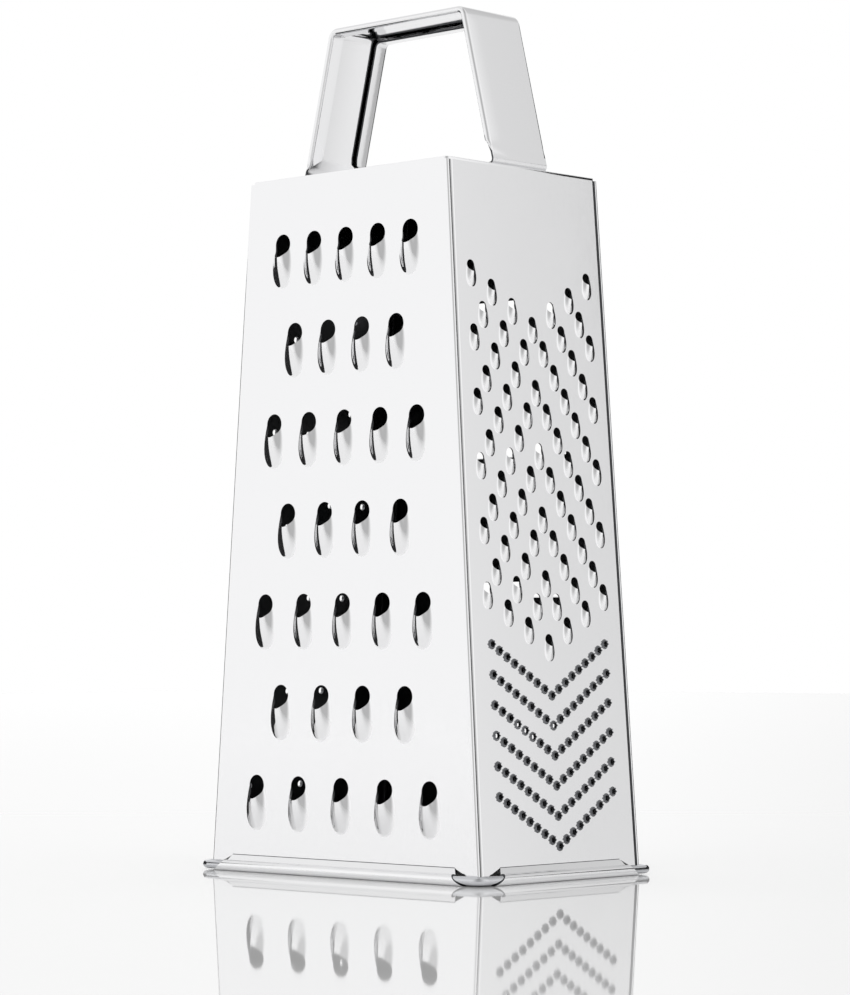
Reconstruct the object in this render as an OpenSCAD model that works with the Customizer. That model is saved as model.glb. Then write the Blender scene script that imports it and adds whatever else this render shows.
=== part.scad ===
// Four-sided box grater of polished stainless sheet. Four punched panels are hooked together at
// lock seams, their lower edges are rolled round a wire ring, and a riveted strap handle stands
// on a flat top plate. The origin is on the floor, under the middle of the body.

/* [Body] */
// Width of the body at the floor, across the coarse face
base_w = 106.7; // [100:0.1:115]
// Depth of the body at the floor
base_d = 68.5; // [66:0.1:75]
// Width of the body at its top edge
top_w = 79.4; // [78:0.1:86]
// Depth of the body at its top edge
top_d = 64; // [63:0.1:66]
// Height of the panels' top edge above the floor
body_h = 201; // [199:0.5:215]
// Thickness of the panel sheet
sheet_t = 0.4; // [0.3:0.05:0.5]

/* [Rolled base] */
// Diameter of the wire ring
wire_d = 2.4; // [2:0.1:2.6]
// Distance from a panel's foot line out to the middle of the wire
wire_out = 1.8; // [1.7:0.05:2.2]
// Bend radius of the wire's middle line at the corners
wire_corner_r = 2.8; // [2.6:0.1:3.2]
// Height at which a panel turns outward over the wire
flare_h = 4.8; // [4.5:0.1:6]
// Width of the narrow flat pressed along the underside of the roll
rest_flat = 1; // [0.6:0.1:1.2]
// Radius of the round notch cut out of the roll at each corner
notch_r = 10.2; // [9.5:0.1:11]
// Height of the notch's middle above the floor
notch_h = 9.6; // [9:0.1:10]
// Width of the panel's corner tip that reaches down behind the wire
tip_w = 4.4; // [4:0.1:6]
// Height of the corner tips above the floor
tip_h = 1.2; // [1:0.1:2]

/* [Lock seams] */
// Length of the hook folded along each panel's long edge
hook_l = 3.4; // [3:0.1:4]
// Outer bend radius of the side panels at the seam
seam_bend_r = 0.8; // [0.6:0.05:1]
// Clearance between the layers of a seam
seam_gap = 0.05; // [0.03:0.01:0.08]

/* [Top plate] */
// Thickness of the top plate
plate_t = 0.8; // [0.6:0.1:1.2]
// Distance of the plate's rim inside the panels' outer faces
plate_inset = 0.4; // [0.2:0.1:0.6]
// Corner radius of the plate
plate_corner_r = 1.6; // [1:0.1:3]
// Width of the panels' inward flanges under the plate
ledge_w = 4; // [3:0.1:4.5]
// Length of each corner that the flanges leave free for the seam
ledge_clear = 7; // [6.5:0.1:9]

/* [Coarse teeth] */
// Diameter of a coarse hole
coarse_d = 6; // [5.5:0.1:6.5]
// Length of a coarse scoop below the middle of its hole
coarse_l = 12.3; // [11:0.1:13]
// Number of rows of coarse teeth
coarse_rows = 7; // [3:1:7]
// Teeth in each full row; the rows between have one less
coarse_cols = 5; // [3:1:5]
// Distance of the top row below the panels' top edge
coarse_top = 18.7; // [17:0.1:20]
// Distance between coarse rows
coarse_step = 26.2; // [25:0.1:26.5]
// Distance between coarse teeth at the top edge
coarse_pitch_high = 12.3; // [12:0.1:13]
// Distance between coarse teeth at floor level
coarse_pitch_low = 18; // [16:0.1:18.5]

/* [Fine teeth] */
// Diameter of a fine hole
fine_d = 3; // [2.6:0.1:3.2]
// Length of a fine scoop below the middle of its hole
fine_l = 6.2; // [5.5:0.1:6.5]
// Number of chevron rows of fine teeth
fine_rows = 11; // [4:1:11]
// Steps from the middle of a chevron to its ends
fine_arms = 3; // [2:1:3]
// Height of the top chevron's lowest point above the floor
fine_top = 157.3; // [155:0.1:160]
// Distance between chevron rows of fine teeth
fine_step = 9; // [8.8:0.05:9.2]
// Distance across between neighbouring fine teeth of a row
fine_pitch = 8.2; // [7.8:0.05:8.5]
// Rise of a chevron from one fine tooth to the next
fine_rise = 4.8; // [4:0.1:5]

/* [Rasp teeth] */
// Bore of a rasp hole
rasp_d = 1.6; // [1.4:0.1:1.8]
// Height of the burr pushed up round a rasp hole
rasp_h = 0.6; // [0.4:0.05:0.8]
// Number of chevron rows of rasp holes
rasp_rows = 6; // [2:1:6]
// Steps from the middle of a rasp chevron to its ends
rasp_arms = 8; // [4:1:8]
// Height of the top rasp chevron's lowest point above the floor
rasp_top = 51.5; // [51:0.1:53]
// Distance between rasp chevrons
rasp_step = 8.4; // [8:0.05:8.5]
// Distance across between neighbouring rasp holes
rasp_pitch = 3; // [2.9:0.02:3.1]
// Rise of a rasp chevron from one hole to the next
rasp_rise = 1.8; // [1.5:0.05:2]

/* [Slicing slots] */
// Width of a slicing blade
slicer_w = 54; // [40:1:58]
// Height of a slot's opening above its blade's edge
slicer_open = 4.5; // [3.5:0.1:6]
// Length of the ramp that rises to the blade's edge
slicer_ramp = 13; // [10:0.5:16]
// Height of the blade's edge above the panel
slicer_rise = 2.2; // [1.8:0.1:3]
// Number of slicing slots
slicer_rows = 4; // [2:1:4]
// Height of the lowest blade's edge above the floor
slicer_low = 38; // [34:1:42]
// Distance between slicing slots
slicer_step = 42; // [36:0.5:43]

/* [Zesting spikes] */
// Bore of a zesting spike
zest_d = 2; // [1.8:0.1:2.4]
// Height of a zesting spike's burr
zest_h = 1.1; // [0.8:0.1:1.4]
// Number of rows of zesting spikes
zest_rows = 22; // [4:1:22]
// Spikes in each full row; the rows between have one less
zest_cols = 7; // [3:1:7]
// Height of the lowest row above the floor
zest_low = 24; // [20:0.5:28]
// Distance between rows of spikes
zest_step = 7; // [6.5:0.1:7.2]
// Distance between spikes in a row
zest_pitch = 7; // [6.5:0.1:7.5]

/* [Handle] */
// Height of the grip above the top plate
handle_h = 46.8; // [40:0.1:60]
// Width of the arch across its upper corners
handle_top_w = 54.5; // [48:0.1:60]
// Width of the arch where its legs would meet the plate
handle_foot_w = 77.6; // [74:0.1:78]
// Width of the strap
strap_w = 23.8; // [20:0.1:28]
// Thickness of the strap's sheet
strap_t = 0.6; // [0.5:0.05:0.8]
// Depth of the curl along the strap's long edges
curl_d = 2; // [1.8:0.1:2.6]
// Distance that a curled lip reaches in from the strap's edge
lip_w = 4.8; // [4:0.1:6]
// Outer bend radius at the arch's upper corners
handle_bend_r = 3.5; // [3:0.1:5]
// Outer bend radius at the feet
foot_bend_r = 1.5; // [1.2:0.1:2]
// Length of each foot on the top plate
foot_l = 13; // [11:0.5:14]
// Height above the plate at which the curls begin
curl_start = 2.4; // [2:0.1:4]
// Length over which the curls taper in above the feet
curl_taper = 6; // [4:0.5:10]

/* [Rivets] */
// Diameter of a rivet's shank
rivet_d = 3; // [2.5:0.1:3.5]
// Diameter of a rivet's heads
rivet_head_d = 5.6; // [5:0.1:6.5]
// Height of a rivet's heads
rivet_head_h = 1.1; // [0.8:0.1:1.4]
// Distance between the two rivets of a foot
rivet_space = 12; // [10:0.5:14]
// Distance of the rivets from the foot's inner end
rivet_end = 5.5; // [5:0.1:6]
// Clearance round a rivet's shank
rivet_gap = 0.05; // [0.02:0.01:0.1]
// Clearance between a rivet's lower head and the flanges beside it
rivet_clear = 0.6; // [0.4:0.1:0.8]

/* [Hidden] */
$fn = 48;

// Overrun of every cut past the surface that it opens
over = 1;
// Overlap of a strap's straight lengths with its bends
lap = 0.05;
// Clearance between the wire and the sheet rolled round it
wire_gap = 0.02;
// Wall of a burr at its root and at its rim
burr_root = 0.35;
burr_rim = 0.12;
// Slope of a scoop's mouth against the panel
lip_angle = 38;
// Bands of each scoop from its hole to its tip, and the radius of that blunt tip
coarse_bands = 4;
fine_bands = 3;
scoop_tip_r = 0.2;
// Loss of thickness on each face of the strap where it is bent
bend_loss = 0.05;
// Angles round the wire where the flare joins the roll, and where the roll's free edge lies
flare_angle = 118;
free_edge_angles = [146, 172];
// Slope of the blade's ground edge
grind_angle = 30;
// Least sheet between a tooth and the panel's top edge or its flare
land = 2;

wire_r = wire_d / 2;
roll_r = wire_r + wire_gap + sheet_t;
wire_z = sqrt(pow(roll_r, 2) - pow(rest_flat / 2, 2));
hem_r = (3 * sheet_t + 2 * seam_gap) / 2;
side_inset = 2 * hem_r + seam_gap + seam_bend_r;
lean_front = atan((base_d - top_d) / 2 / body_h);
lean_side = atan((base_w - top_w) / 2 / body_h);
plate_z = body_h + plate_t;
handle_z = plate_z + handle_h;
leg_lean = atan((handle_foot_w - handle_top_w) / 2 / handle_h);
top_bend_x = handle_top_w / 2 - handle_bend_r * (1 - sin(leg_lean)) / cos(leg_lean);
top_bend_z = handle_z - handle_bend_r;
foot_bend_z = plate_z + foot_bend_r;
foot_bend_x = handle_top_w / 2
    + ((handle_z - foot_bend_z) * sin(leg_lean) - foot_bend_r) / cos(leg_lean);
leg_l = (foot_bend_x - top_bend_x) * sin(leg_lean) + (top_bend_z - foot_bend_z) * cos(leg_lean);
foot_w = strap_w - curl_d / 2;
rivet_x = foot_bend_x - foot_l + rivet_end;

steel = [0.86, 0.87, 0.88];
steel_dark = [0.7, 0.71, 0.73];

// Distance up a leaning panel to a height above the floor
function up(h, lean) = h / cos(lean);

// Half width of a panel at a distance up its slope
function half_w(low, high, lean, y) = (low + (high - low) * y * cos(lean) / body_h) / 2;

// Share of the way up the body of a height above the floor
function rise_share(h) = h / body_h;

// Places across the panel of n teeth at one pitch
function row_places(n, pitch) = [for (i = [0 : n - 1]) (i - (n - 1) / 2) * pitch];

// Middles of the coarse teeth: rows of five and four, fanning out with the panel
function coarse_places() = [
    for (row = [0 : coarse_rows - 1])
        let (h = body_h - coarse_top - row * coarse_step,
             pitch = coarse_pitch_low + (coarse_pitch_high - coarse_pitch_low) * rise_share(h))
        for (x = row_places(coarse_cols - row % 2, pitch)) [x, up(h, lean_front)]
];

// Middles of a chevron field: every other row is shifted by half a pitch when staggered
function chevron_places(rows, arms, top, step, pitch, rise, staggered) = [
    for (row = [0 : rows - 1])
        let (n = 2 * arms + 1 - (staggered ? row % 2 : 0))
        for (x = row_places(n, pitch)) [x, up(top - row * step + rise * abs(x) / pitch, lean_side)]
];

// Middles of a staggered field of spikes
function zest_places() = [
    for (row = [0 : zest_rows - 1], x = row_places(zest_cols - row % 2, zest_pitch))
        [x, up(zest_low + row * zest_step, lean_side)]
];

// Those places on a panel that leave land above and below the tooth
function with_room(places, above, below, lean) = [
    for (p = places)
        if (p.y + above + land <= up(body_h, lean) && p.y - below - land >= up(flare_h, lean)) p
];

// Profile of a scoop, from its widest place down to its blunt tip
function scoop_curve(r, l, bands) =
    [for (i = [0 : bands]) let (a = 90 * i / bands) [max(r * cos(a), scoop_tip_r), -l * sin(a)]];

function reversed(list) = [for (i = [len(list) - 1 : -1 : 0]) list[i]];

function mirrored(list) = [for (p = list) [-p.x, p.y]];

// Turns to one of the four sides: 0 front, 1 right, 2 back, 3 left
module side(k) rotate([0, 0, 90 * k]) children();

// Lays flat work into a panel's leaning plane: its outer face is at zero, with y up the slope
module in_panel(dist, lean) translate([0, -dist, 0]) rotate([90 - lean, 0, 0]) children();

// Flat outline of a panel, with a tip at each lower corner and its long edges drawn in by inset
module blank(low, high, lean, inset) {
    top = up(body_h, lean) + over;
    flare = up(flare_h, lean);
    tip = up(tip_h, lean) - over;
    right = [[half_w(low, high, lean, top) - inset, top], [half_w(low, high, lean, tip) - inset, tip],
             [half_w(low, high, lean, tip) - tip_w, tip],
             [half_w(low, high, lean, flare) - tip_w - sheet_t, flare]];
    polygon(concat(right, reversed(mirrored(right))));
}

// Half ring of sheet, open towards +x
module half_ring(r, t) difference() {
    circle(r);
    circle(r - t);
    translate([0, -r - over]) square([r + over, 2 * (r + over)]);
}

// Seam profile of the front and back panels: the edge folded back into a hook.
// x runs inward from the corner and y is the depth behind the outer face, here downward.
module front_hook() {
    translate([hem_r, -hem_r]) half_ring(hem_r, sheet_t);
    translate([hem_r, -2 * hem_r]) square([hook_l, sheet_t]);
    translate([hem_r, -sheet_t]) square([sheet_t, sheet_t]);
}

// Seam profile of the side panels, in the same axes: the edge bent behind the front panel and
// folded back round its hook
module side_hook() {
    depth = 2 * hem_r + seam_gap;
    turn_x = hem_r + hook_l + seam_gap;
    translate([seam_bend_r, -depth - seam_bend_r]) intersection() {
        difference() {
            circle(seam_bend_r);
            circle(seam_bend_r - sheet_t);
        }
        translate([-seam_bend_r - over, 0]) square(seam_bend_r + over);
    }
    translate([seam_bend_r, -depth - sheet_t]) square([turn_x - seam_bend_r, sheet_t]);
    translate([turn_x, -sheet_t - seam_gap - hem_r]) mirror([1, 0]) half_ring(hem_r, sheet_t);
    translate([hem_r + seam_gap, -2 * sheet_t - seam_gap]) square([turn_x - hem_r - seam_gap, sheet_t]);
    translate([0, -depth - seam_bend_r - sheet_t]) square([sheet_t, sheet_t]);
}

// Runs a seam profile up both long edges of a panel
module along_edges(low, high, lean) {
    slope = atan((low - high) / 2 / up(body_h, lean));
    length = up(body_h, lean) / cos(slope) + over;
    for (m = [0, 1]) mirror([m, 0, 0])
        translate([low / 2, 0, 0]) rotate([0, 0, slope]) translate([0, length, 0])
            rotate([90, 0, 0]) linear_extrude(length) children();
}

// Cuts a panel's folds level at the top edge and at the corner tips
module level_cuts() {
    reach = base_w + base_d;
    translate([-reach, -reach, body_h]) cube([2 * reach, 2 * reach, reach]);
    translate([-reach, -reach, tip_h - reach]) cube([2 * reach, 2 * reach, reach]);
}

// Flat sheet strip between two points of a profile
module strip(p, q, t) {
    run = q - p;
    translate(p) rotate(atan2(run.y, run.x)) translate([0, -t / 2]) square([norm(run), t]);
}

// Profile of the rolled edge: flare and roll. x runs outward from the panel's foot line.
module roll_profile(lean) {
    mid = roll_r - sheet_t / 2;
    start = [-flare_h * tan(lean) - sheet_t / 2, flare_h];
    join = [wire_out + mid * cos(flare_angle), wire_z + mid * sin(flare_angle)];
    strip(start, join, sheet_t);
    difference() {
        translate([wire_out, wire_z]) circle(roll_r);
        translate([wire_out, wire_z]) circle(roll_r - sheet_t);
        translate([wire_out - roll_r - over, -over]) square([2 * (roll_r + over), over]);
        translate([wire_out, wire_z]) polygon(concat([[0, 0]],
            [for (a = free_edge_angles) (roll_r + over) * [cos(a), sin(a)]]));
    }
}

// Rolled lower edge of a panel, notched round at both corners
module rolled_edge(low, dist, lean) difference() {
    translate([-low / 2, -dist, 0]) rotate([90, 0, 90]) linear_extrude(low)
        mirror([1, 0]) roll_profile(lean);
    for (x = [-low / 2, low / 2]) translate([x, -dist, notch_h]) rotate([90, 0, 0])
        cylinder(r = notch_r, h = 2 * (wire_out + roll_r + over), center = true);
}

// Flange turned in along a panel's top edge, to carry the top plate. The children are cut out.
module ledge(high, dist_high) difference() {
    long = high - 2 * ledge_clear;
    translate([-long / 2, -dist_high + sheet_t / 2, body_h - sheet_t])
        cube([long, ledge_w - sheet_t / 2, sheet_t]);
    children();
}

// Room for the rivets' lower heads beside the flange of a side panel
module head_room() for (x = [-rivet_space / 2, rivet_space / 2])
    translate([x, -rivet_x, body_h - sheet_t - over])
        cylinder(d = rivet_head_d + 2 * rivet_clear, h = sheet_t + 2 * over);

// Bent sheet of a panel. The first child is its holes and the second its seam profile.
module panel_sheet(low, high, dist, lean, inset) {
    difference() {
        union() {
            in_panel(dist, lean) translate([0, 0, -sheet_t]) linear_extrude(sheet_t) difference() {
                blank(low, high, lean, inset + sheet_t / 2);
                children(0);
            }
            in_panel(dist, lean) along_edges(low, high, lean) children(1);
        }
        level_cuts();
    }
    rolled_edge(low, dist, lean);
}

// Sheet of the front or the back panel, with the children for its holes
module broad_sheet() {
    panel_sheet(base_w, top_w, base_d / 2, lean_front, hem_r) {
        children();
        mirror([1, 0]) front_hook();
    }
    ledge(top_w, top_d / 2);
}

// Sheet of the right or the left panel, with the children for its holes
module narrow_sheet() {
    panel_sheet(base_d, top_d, base_w / 2, lean_side, side_inset) {
        children();
        rotate(-90) side_hook();
    }
    ledge(top_d, top_w / 2) head_room();
}

// Shell of a scoop, turned about its axis in the panel's face, with a flat rim at its wide end
module scoop_shell(d, l, bands) {
    outer = scoop_curve((d + sheet_t) / 2, l + sheet_t / 2, bands);
    inner = scoop_curve((d - sheet_t) / 2, l - sheet_t / 2, bands);
    rotate([90, 0, 0]) rotate_extrude($fn = 32) polygon(concat(
        [for (p = outer) [p.x, -p.y]],
        [[0, l + sheet_t / 2], [0, l - sheet_t / 2]],
        reversed([for (p = inner) [p.x, -p.y]])
    ));
}

// Hollow scoop, raised from the sheet below its hole and open at its upper end. It is rooted at
// half the sheet's depth, and so are the burrs.
module scoop(d, l, bands) difference() {
    scoop_shell(d, l, bands);
    translate([-l, -l - over, -2 * l - sheet_t / 2]) cube([2 * l, 2 * l, 2 * l]);
    translate([0, -sheet_t / 4, 0]) rotate([-lip_angle, 0, 0])
        translate([-l, -l, 0]) cube([2 * l, 2 * l, l]);
}

// Hole under a scoop: round above, and drawn out to the scoop's tip below
module scoop_hole(d, l, bands) {
    curve = scoop_curve(d / 2, l, bands);
    circle(d = d, $fn = 32);
    polygon(concat(curve, reversed(mirrored(curve))));
}

// Burr pushed up round a small pierced hole
module burr(d, h) translate([0, 0, -sheet_t / 2]) difference() {
    cylinder(r1 = d / 2 + burr_root, r2 = d / 2 + burr_rim, h = h + sheet_t / 2, $fn = 24);
    translate([0, 0, -over]) cylinder(d = d, h = h + sheet_t + 2 * over, $fn = 24);
}

module at(places) for (p = places) translate([p.x, p.y, 0]) children();

// Slicing blade: a shallow ramp pressed out of the sheet, open and ground along its upper edge
module blade() {
    under = slicer_rise - sheet_t;
    toe = -slicer_ramp + sheet_t;
    ramp = [[0, -sheet_t], [0, slicer_rise], [-slicer_ramp, 0], [-slicer_ramp, -sheet_t]];
    inner = [[over, -sheet_t - over], [over, under + over * slicer_rise / slicer_ramp],
             [0, under], [toe, -sheet_t], [toe, -sheet_t - over]];
    difference() {
        translate([-slicer_w / 2, 0, 0]) rotate([90, 0, 90]) linear_extrude(slicer_w) polygon(ramp);
        translate([-slicer_w / 2 + sheet_t, 0, 0]) rotate([90, 0, 90])
            linear_extrude(slicer_w - 2 * sheet_t) polygon(inner);
        translate([-slicer_w / 2 - over, 0, slicer_rise]) rotate([-grind_angle, 0, 0])
            translate([0, -over, 0]) cube([slicer_w + 2 * over, 2 * over, over]);
    }
}

// Opening behind and above a slicing blade
module blade_hole() {
    wall = sheet_t / 2;
    translate([-slicer_w / 2 + wall, -slicer_ramp + wall])
        square([slicer_w - 2 * wall, slicer_ramp + slicer_open]);
}

module coarse_panel() color(steel) side(0) {
    teeth = with_room(coarse_places(), coarse_d / 2, coarse_l, lean_front);
    broad_sheet() at(teeth) scoop_hole(coarse_d, coarse_l, coarse_bands);
    in_panel(base_d / 2, lean_front) at(teeth) scoop(coarse_d, coarse_l, coarse_bands);
}

module fine_panel() color(steel) side(1) {
    burr_r = rasp_d / 2 + burr_root;
    teeth = with_room(
        chevron_places(fine_rows, fine_arms, fine_top, fine_step, fine_pitch, fine_rise, true),
        fine_d / 2, fine_l, lean_side);
    burrs = with_room(
        chevron_places(rasp_rows, rasp_arms, rasp_top, rasp_step, rasp_pitch, rasp_rise, false),
        burr_r, burr_r, lean_side);
    narrow_sheet() {
        at(teeth) scoop_hole(fine_d, fine_l, fine_bands);
        at(burrs) circle(d = rasp_d + burr_root, $fn = 24);
    }
    in_panel(base_w / 2, lean_side) {
        at(teeth) scoop(fine_d, fine_l, fine_bands);
        at(burrs) burr(rasp_d, rasp_h);
    }
}

module slicing_panel() color(steel) side(2) {
    rows = [for (row = [0 : slicer_rows - 1]) [0, up(slicer_low + row * slicer_step, lean_front)]];
    blades = with_room(rows, slicer_open, slicer_ramp, lean_front);
    broad_sheet() at(blades) blade_hole();
    in_panel(base_d / 2, lean_front) at(blades) blade();
}

module zesting_panel() color(steel) side(3) {
    burr_r = zest_d / 2 + burr_root;
    spikes = with_room(zest_places(), burr_r, burr_r, lean_side);
    narrow_sheet() at(spikes) circle(d = zest_d + burr_root, $fn = 24);
    in_panel(base_w / 2, lean_side) at(spikes) burr(zest_d, zest_h);
}

// Closed ring of round wire with bent corners, inside the four rolls
module base_wire() color(steel_dark) translate([0, 0, wire_z]) {
    x = base_w / 2 + wire_out - wire_corner_r;
    y = base_d / 2 + wire_out - wire_corner_r;
    for (s = [-1, 1]) {
        translate([-x, s * (y + wire_corner_r), 0]) rotate([0, 90, 0]) cylinder(r = wire_r, h = 2 * x);
        translate([s * (x + wire_corner_r), y, 0]) rotate([90, 0, 0]) cylinder(r = wire_r, h = 2 * y);
    }
    for (k = [0 : 3])
        translate([k == 0 || k == 3 ? x : -x, k < 2 ? y : -y, 0]) rotate([0, 0, 90 * k])
            rotate_extrude(angle = 90) translate([wire_corner_r, 0]) circle(wire_r);
}

// Positions of the four rivets on the plate
module at_rivets() for (x = [-rivet_x, rivet_x], y = [-rivet_space / 2, rivet_space / 2])
    translate([x, y, 0]) children();

module rivet_bore() translate([0, 0, body_h - over])
    cylinder(d = rivet_d + 2 * rivet_gap, h = plate_t + strap_t + 2 * over);

// Flat lid with rounded corners, lying on the panels' ledges
module top_plate() color(steel) {
    x = top_w / 2 - plate_inset - plate_corner_r;
    y = top_d / 2 - plate_inset - plate_corner_r;
    difference() {
        translate([0, 0, body_h]) linear_extrude(plate_t) {
            square([2 * x, 2 * (y + plate_corner_r)], center = true);
            square([2 * (x + plate_corner_r), 2 * y], center = true);
            for (sx = [-x, x], sy = [-y, y]) translate([sx, sy]) circle(plate_corner_r);
        }
        at_rivets() rivet_bore();
    }
}

// Strap's flat web: x is 0 at the outer face and runs outward. Each face gives way by loss.
module web_profile(w, loss) translate([loss - strap_t, -w / 2]) square([strap_t - 2 * loss, w]);

// Curled long edges of the strap, without their lips
module curl_profile(loss) for (m = [0, 1]) mirror([0, m])
    translate([-curl_d / 2, strap_w / 2 - curl_d / 2]) rotate(-90)
        half_ring(curl_d / 2 - loss, strap_t - 2 * loss);

// Lips that return behind the web
module lip_profile(loss) for (m = [0, 1]) mirror([0, m])
    translate([loss - curl_d, strap_w / 2 - lip_w + loss])
        square([strap_t - 2 * loss, lip_w - curl_d / 2 - loss]);

module strap_profile(loss) {
    web_profile(strap_w - curl_d, loss);
    curl_profile(loss);
    lip_profile(loss);
}

// Swings a strap profile about the bend whose middle is at the origin, between two slopes
module strap_bend(r, from, to) rotate([90, 0, 0]) rotate([0, 0, from])
    rotate_extrude(angle = to - from) translate([r, 0]) children();

// Slanted end of the curls above a foot, in the leg's own side view
module curl_end() {
    z = curl_start - foot_bend_r;
    deep = -strap_t - 2 * curl_d;
    polygon([[-strap_t, -over], [-strap_t, z], [deep, z + 2 * curl_taper], [deep, -over]]);
}

// One leg, its upper bend, its foot bend and its foot, on the +x side
module leg() {
    translate([top_bend_x, 0, top_bend_z]) {
        strap_bend(handle_bend_r, leg_lean, 90) strap_profile(bend_loss);
        rotate([0, -leg_lean, 0]) translate([handle_bend_r, 0, -leg_l - lap]) {
            difference() {
                linear_extrude(leg_l + 2 * lap) strap_profile(0);
                rotate([90, 0, 0]) linear_extrude(2 * strap_w, center = true) curl_end();
            }
        }
    }
    translate([foot_bend_x, 0, foot_bend_z]) strap_bend(foot_bend_r, -90, leg_lean)
        web_profile(foot_w - 2 * bend_loss, bend_loss);
    translate([foot_bend_x - foot_l, -foot_w / 2, plate_z]) cube([foot_l + lap, foot_w, strap_t]);
}

module handle() color(steel) difference() {
    union() {
        for (m = [0, 1]) mirror([m, 0, 0]) leg();
        translate([-top_bend_x - lap, 0, handle_z]) rotate([0, 90, 0]) rotate([0, 0, 180])
            linear_extrude(2 * (top_bend_x + lap)) strap_profile(0);
    }
    at_rivets() rivet_bore();
}

// Solid rivets: a domed head on the foot, and a closed head under the plate
module handle_rivets() color(steel_dark) at_rivets() {
    grip = plate_t + strap_t;
    r = rivet_head_d / 2;
    translate([0, 0, body_h]) rotate_extrude() {
        square([rivet_d / 2, grip]);
        translate([0, grip]) intersection() {
            translate([0, rivet_head_h - (pow(r, 2) + pow(rivet_head_h, 2)) / (2 * rivet_head_h)])
                circle((pow(r, 2) + pow(rivet_head_h, 2)) / (2 * rivet_head_h));
            square([r, rivet_head_h]);
        }
        translate([0, -rivet_head_h]) square([r, rivet_head_h]);
    }
}

coarse_panel();
fine_panel();
slicing_panel();
zesting_panel();
base_wire();
top_plate();
handle();
handle_rivets();
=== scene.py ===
"""Looks of a four-sided box grater: polished stainless sheet, punched teeth, strap handle."""
import math
import random

import bmesh
import bpy
import numpy as np
from mathutils import Matrix, Vector
from mathutils.geometry import delaunay_2d_cdt


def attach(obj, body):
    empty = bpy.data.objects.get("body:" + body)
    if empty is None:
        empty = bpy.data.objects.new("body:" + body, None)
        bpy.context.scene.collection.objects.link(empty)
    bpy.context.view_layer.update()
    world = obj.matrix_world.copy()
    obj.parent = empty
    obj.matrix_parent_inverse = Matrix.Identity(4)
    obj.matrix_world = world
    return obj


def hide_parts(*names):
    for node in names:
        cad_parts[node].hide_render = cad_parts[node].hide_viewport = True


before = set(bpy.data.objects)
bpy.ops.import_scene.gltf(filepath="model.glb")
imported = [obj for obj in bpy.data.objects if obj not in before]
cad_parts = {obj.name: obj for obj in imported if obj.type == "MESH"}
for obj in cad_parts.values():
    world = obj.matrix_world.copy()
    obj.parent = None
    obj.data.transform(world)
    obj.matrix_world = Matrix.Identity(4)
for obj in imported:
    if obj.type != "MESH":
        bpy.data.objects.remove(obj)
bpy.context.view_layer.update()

MM = 0.001

# ---------------------------------------------------------------- sizes, in millimetres
BASE_W, BASE_D = 106.7, 68.5                # body at the floor
TOP_W, TOP_D = 79.4, 64.0                   # body at its upper edge
BODY_H = 201.0
SHEET = 0.4
WIRE_R, WIRE_OUT, WIRE_CORNER = 1.2, 1.8, 2.8
WIRE_PLAY = 0.02                            # room between the wire and its roll
FLARE_H, CREASE_W = 4.8, 0.22               # where the lower edge turns out, and its pressed crease
REST_FLAT = 1.0                             # flat that the rolls stand on
WRAP_FROM, WRAP_TO, WRAP_POINTS = 118, -188, 40     # the roll's arc round the wire, in degrees
NOTCH_R, NOTCH_H = 10.2, 9.6                # round cut at each corner of the base
TIP_W, TIP_H, TIP_TURN = 4.4, 1.2, 1.2      # the sheet's lowest tip between two notches
EAR_H, FLARE_CUT = 2.6, 9.2                 # the notch's outline on the sheet
HOOK_L, BEND_R, SEAM_GAP = 3.4, 0.8, 0.05   # lock seams at the corners
PLATE_T, PLATE_INSET, PLATE_CORNER = 0.8, 0.4, 1.6
PLATE_EDGE, PLATE_EDGE_MID = 0.15, 0.3      # eased upper edge, and the share cut at its middle
LEDGE_W, LEDGE_CLEAR = 4.0, 7.0             # flange under the top plate
HANDLE_H, HANDLE_TOP_W, HANDLE_FOOT_W = 46.8, 54.5, 77.6
STRAP_W, STRAP_T, CURL_D, LIP_W = 23.8, 0.6, 2.0, 4.8
HANDLE_BEND, FOOT_BEND, FOOT_L = 3.5, 1.5, 13.0
CURL_START, CURL_TAPER = 2.4, 6.0           # where the curled edges end above the feet
RIVET_D, HEAD_D, HEAD_H, HEAD_EDGE = 3.0, 5.6, 1.1, 0.2
RIVET_SPACE, RIVET_END = 12.0, 5.5

COARSE_D, COARSE_L, COARSE_UP = 6.0, 13.2, 2.3      # hole, pressed length, height
FINE_D, FINE_L, FINE_UP = 3.0, 6.4, 1.15
RASP_D, RASP_UP = 1.6, 0.9
ZEST_D, ZEST_UP = 2.0, 1.2
BURR_ROOT, BURR_FOOT = 0.42, 0.25           # wall of a burr at its foot, and its fillet
BLADE_W, BLADE_L, BLADE_UP, BLADE_SIDE = 54.0, 13.0, 2.2, 5.0
SLOT_H, SLOT_CORNER, BLADE_GRIND = 4.5, 1.2, 0.25

COARSE_ROWS, COARSE_STEP, COARSE_TOP = 7, 26.2, 18.7    # the top row lies this far below the edge
COARSE_PITCH_LOW, COARSE_PITCH_HIGH = 18.0, 12.3        # spacing at the floor and at the top
BLADES, BLADE_STEP, BLADE_LOW = 4, 42, 38
ZEST_ROWS, ZEST_STEP, ZEST_LOW, ZEST_ACROSS = 22, 7, 24, 7

# how finely the curves are cut, in points
HEM_POINTS, BEND_POINTS, HOOK_POINTS = 15, 7, 9             # seams: front hem, side's bend and hem
BLADE_COLUMNS, BLADE_BANDS, SLOT_CORNER_POINTS = 41, 9, 5
WIRE_POINTS, WIRE_CORNER_POINTS, PLATE_CORNER_POINTS = 24, 13, 9
STRAP_BEND_POINTS, STRAP_LEG_POINTS, STRAP_FOOT_POINTS, CURL_POINTS = 15, 24, 12, 11
HEAD_POINTS, DOME_POINTS = 32, 9

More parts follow.
